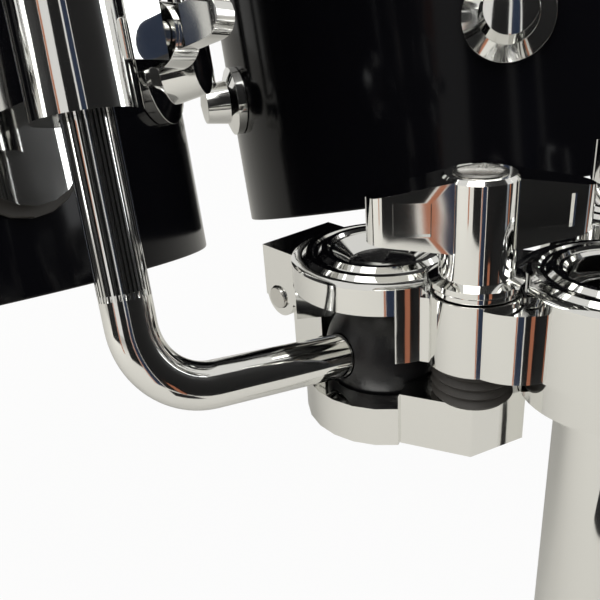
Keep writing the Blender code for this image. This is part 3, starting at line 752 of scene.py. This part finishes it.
for side, label in SIDES:
    radius = SHELL_R[side]
    place = drum_matrix(side)
    middle = radius + ROD_STAND
    at_rod = place @ Matrix.Translation((0.0, -middle, 0.0))
    gasket_plate = curved_plate(radius + GAP, radius + GASKET, GASKET_TONGUE[0] + BLANK_SPARE)
    gasket = begin(label + "_bracket_gasket", moved(gasket_plate, place))
    boolean(gasket, moved(tongue(radius, *GASKET_TONGUE), place), "INTERSECT")
    settle(gasket, rubber, 0.0006)
    plate_in = radius + GASKET + GAP
    plate = curved_plate(plate_in, plate_in + FLANGE, FLANGE_TONGUE[0] + BLANK_SPARE)
    flange = begin(label + "_bracket_flange", moved(plate, place))
    boolean(flange, moved(tongue(radius, *FLANGE_TONGUE), place), "INTERSECT")
    stem = prism([(-STEM_HALF, -plate_in - 1.0), (-STEM_HALF, -middle + 4.0),
                  (STEM_HALF, -middle + 4.0), (STEM_HALF, -plate_in - 1.0)],
                 RECEIVER_LOW + 6.0, RECEIVER_HIGH - 6.0)
    boolean(flange, moved(stem, place), "UNION")
    receiver = cylinder(RECEIVER_R, RECEIVER_LOW, RECEIVER_HIGH, 32)
    boolean(flange, moved(receiver, at_rod), "UNION")
    ear = prism([(4.0, -middle - 6.0), (22.0, -middle - 6.0), (22.0, -middle + 6.0),
                 (4.0, -middle + 6.0)], RECEIVER_LOW + 12.0, RECEIVER_HIGH - 12.0)
    boolean(flange, moved(ear, place), "UNION")
    boolean(flange, moved(cylinder(ROD_R + GAP, -20.0, 140.0, 24), at_rod), "DIFFERENCE")
    screw_z = (RECEIVER_LOW + RECEIVER_HIGH) / 2.0
    at_screw = at_rod @ Matrix.Translation((0.0, 0.0, screw_z)) @ LYING_X
    boolean(flange, moved(cylinder(SCREW_R + GAP, 0.0, 40.0, 16), at_screw), "DIFFERENCE")
    settle(flange, wing_chrome, 0.0010)
    nose = ROD_R + GAP
    head_top = SCREW_HEAD + HEAD_HEIGHT
    screw = turned([(0.0, nose), (SCREW_R - RUN, nose), (SCREW_R - RUN, SCREW_HEAD),
                    (HEAD_R, SCREW_HEAD), (HEAD_R, head_top), (0.0, head_top)], 20)
    thumb_screw = begin(label + "_thumb_screw", moved(screw, at_screw))
    grip = prism(arc((0.0, GRIP_HALF), GRIP_R, 0.0, 180.0, 8)
                 + arc((0.0, -GRIP_HALF), GRIP_R, 180.0, 360.0, 8),
                 SCREW_HEAD + 1.0, head_top - 1.0)
    boolean(thumb_screw, moved(grip, at_screw), "UNION")
    settle(thumb_screw, wing_chrome, 0.0012)
    lock_low = RECEIVER_HIGH + GAP
    ring = tube(LOCK_R, ROD_R + GAP, lock_low, lock_low + LOCK_HEIGHT, 28)
    lock = begin(label + "_memory_lock", moved(ring, at_rod))
    at_key = at_rod @ Matrix.Translation((0.0, 0.0, lock_low + LOCK_HEIGHT / 2.0)) @ LYING_Y
    boolean(lock, moved(cylinder(LOCK_SCREW_R + GAP, 0.0, 20.0, 12), at_key), "DIFFERENCE")
    settle(lock, wing_chrome, 0.0006)
    key = turned([(0.0, nose), (LOCK_SCREW_R, nose), (LOCK_SCREW_R, 12.0), (4.5, 12.0),
                  (4.5, 15.0), (2.4, 15.0), (2.4, 20.0), (0.0, 20.0)], 12)
    settle(begin(label + "_lock_screw", moved(key, at_key)), turned_steel, 0.0003)

# Floor: a plain pale sheet just under the post. The camera sees it white, as
# a studio's lit paper, and it keeps a faint shadow.
FLOOR_HALF = 6.0
FLOOR_Z = -0.002


def stage_sheet(name, corners, paint):
    """A flat sheet of the set, with its corners in metres."""
    shape = bmesh.new()
    shape.faces.new([shape.verts.new(corner) for corner in corners])
    sheet = link(name, shape)
    sheet.data.materials.append(paint.material)
    return sheet


paper = Paint("floor paper", (0.62, 0.61, 0.58), 0.9, 0.0)
glow = paper.node("ShaderNodeEmission", {}, {"Color": (1.0, 1.0, 1.0, 1.0), "Strength": 1.0})
seen = paper.node("ShaderNodeLightPath", {}, {}, out="Is Camera Ray")
surface = Wire(paper, paper.shader.outputs[0])
mixed = paper.node("ShaderNodeMixShader", {}, {0: seen * 0.95, 1: surface, 2: glow})
paper.tree.links.new(mixed.socket, paper.tree.nodes["Material Output"].inputs["Surface"])
stage_sheet("floor", [(x * FLOOR_HALF, y * FLOOR_HALF, FLOOR_Z)
                      for x, y in ((-1, -1), (1, -1), (1, 1), (-1, 1))], paper)

# Cards: dark and warm felt stands round the set, out of the camera's sight,
# so that the plating has something to reflect besides pale paper. A black mat
# lies in front of the post for the same reason.
FLOOR_TOP = -0.001
BLACK = (0.004, 0.004, 0.005)
CARDS = [  # name, start, end, low, high, colour, in metres
    ("black card", (-0.12, -0.36), (1.10, -0.36), FLOOR_TOP, 1.5, BLACK),
    ("black floor card", (0.02, -0.34), (0.30, -0.34), FLOOR_TOP, 0.14, BLACK),
    ("navy card", (-0.20, -0.33), (-0.13, -0.35), FLOOR_TOP, 0.9, (0.02, 0.035, 0.08)),
    ("warm card", (-0.218, -0.325), (-0.203, -0.33), FLOOR_TOP, 0.30, (0.60, 0.22, 0.12)),
    ("black wing card", (-0.36, -0.25), (-0.222, -0.32), 0.12, 0.75, BLACK),
    ("low warm card", (-0.05, -0.335), (-0.01, -0.335), FLOOR_TOP, 0.12, (0.55, 0.20, 0.11)),
    ("low grey card", (0.31, -0.33), (0.40, -0.33), FLOOR_TOP, 0.2, (0.30, 0.33, 0.38)),
    ("right warm card", (0.44, -0.33), (0.50, -0.32), FLOOR_TOP, 0.2, (0.50, 0.19, 0.10)),
    ("black left card", (-0.75, -0.30), (-0.80, 0.02), 0.10, 0.75, BLACK),
    ("left warm card", (-0.74, -0.36), (-0.75, -0.31), 0.0, 0.75, (0.50, 0.19, 0.10))]
for name, start, end, low, high, colour in CARDS:
    card = stage_sheet(name, [(*start, low), (*end, low), (*end, high), (*start, high)],
                       Paint(name + " felt", colour, 0.9, 0.0))
    card.visible_camera = False
    card.visible_shadow = False
    card.visible_diffuse = False
mat = stage_sheet("black mat", [(-0.13, -0.19, FLOOR_TOP), (0.01, -0.22, FLOOR_TOP),
                                (0.01, -0.33, FLOOR_TOP), (-0.13, -0.31, FLOOR_TOP)],
                  Paint("black mat felt", BLACK, 0.9, 0.0))
mat.visible_camera = False
mat.visible_diffuse = False

# Light: three soft boxes, one above and one at each side, in a pale room that
# the camera itself sees as plain white.
LAMPS = [  # name, place, aim, size in metres, watts, colour
    ("soft box above", (-0.4, -0.5, 1.5), (0.0, 0.05, 0.25), (1.2, 0.8), 9.0, (1.0, 0.99, 0.97)),
    ("soft box left", (-1.4, -0.1, 0.7), (-0.1, 0.05, 0.25), (0.6, 0.9), 5.0, (1.0, 0.99, 0.96)),
    ("soft box right", (1.3, -0.4, 0.8), (0.1, 0.05, 0.25), (0.5, 0.9), 4.0, (0.96, 0.98, 1.0))]
for name, place, aim, size, power, colour in LAMPS:
    light = bpy.data.lights.new(name, "AREA")
    light.shape = "RECTANGLE"
    light.size, light.size_y = size
    light.energy = power
    light.color = colour
    lamp = bpy.data.objects.new(name, light)
    lamp.location = place
    lamp.rotation_euler = (Vector(aim) - Vector(place)).to_track_quat("-Z", "Y").to_euler()
    scene.collection.objects.link(lamp)
world = bpy.data.worlds.new("studio")
scene.world = world
world.use_nodes = True
sky = world.node_tree
room = sky.nodes["Background"]
room.inputs["Color"].default_value = (0.92, 0.91, 0.88, 1.0)
room.inputs["Strength"].default_value = 0.8
white = sky.nodes.new("ShaderNodeBackground")
white.inputs["Color"].default_value = (1.0, 1.0, 1.0, 1.0)
path = sky.nodes.new("ShaderNodeLightPath")
choose = sky.nodes.new("ShaderNodeMixShader")
sky.links.new(path.outputs["Is Camera Ray"], choose.inputs[0])
sky.links.new(room.outputs[0], choose.inputs[1])
sky.links.new(white.outputs[0], choose.inputs[2])
sky.links.new(choose.outputs[0], sky.nodes["World Output"].inputs["Surface"])

# Camera: it stands close in front of the holder, above and to the left of it,
# and looks down past the left ball clamp.
pitch = radians(24.7)
heading = radians(71.2)
roll = radians(-4.1)
forward = Vector((cos(pitch) * cos(heading), cos(pitch) * sin(heading), -sin(pitch)))
level = Vector((sin(heading), -cos(heading), 0.0))
down = forward.cross(level)
right = level * cos(roll) - down * sin(roll)
below = level * sin(roll) + down * cos(roll)
view = Matrix((right, -below, -forward)).transposed().to_4x4()
lens = bpy.data.cameras.new("camera")
lens.sensor_width = 36.0
lens.lens = 42.0
lens.clip_start = 0.005
camera = bpy.data.objects.new("camera", lens)
camera.matrix_world = Matrix.Translation((-0.1269, -0.1237, 0.3214)) @ view
scene.collection.objects.link(camera)
scene.camera = camera
scene.view_settings.view_transform = "Standard"
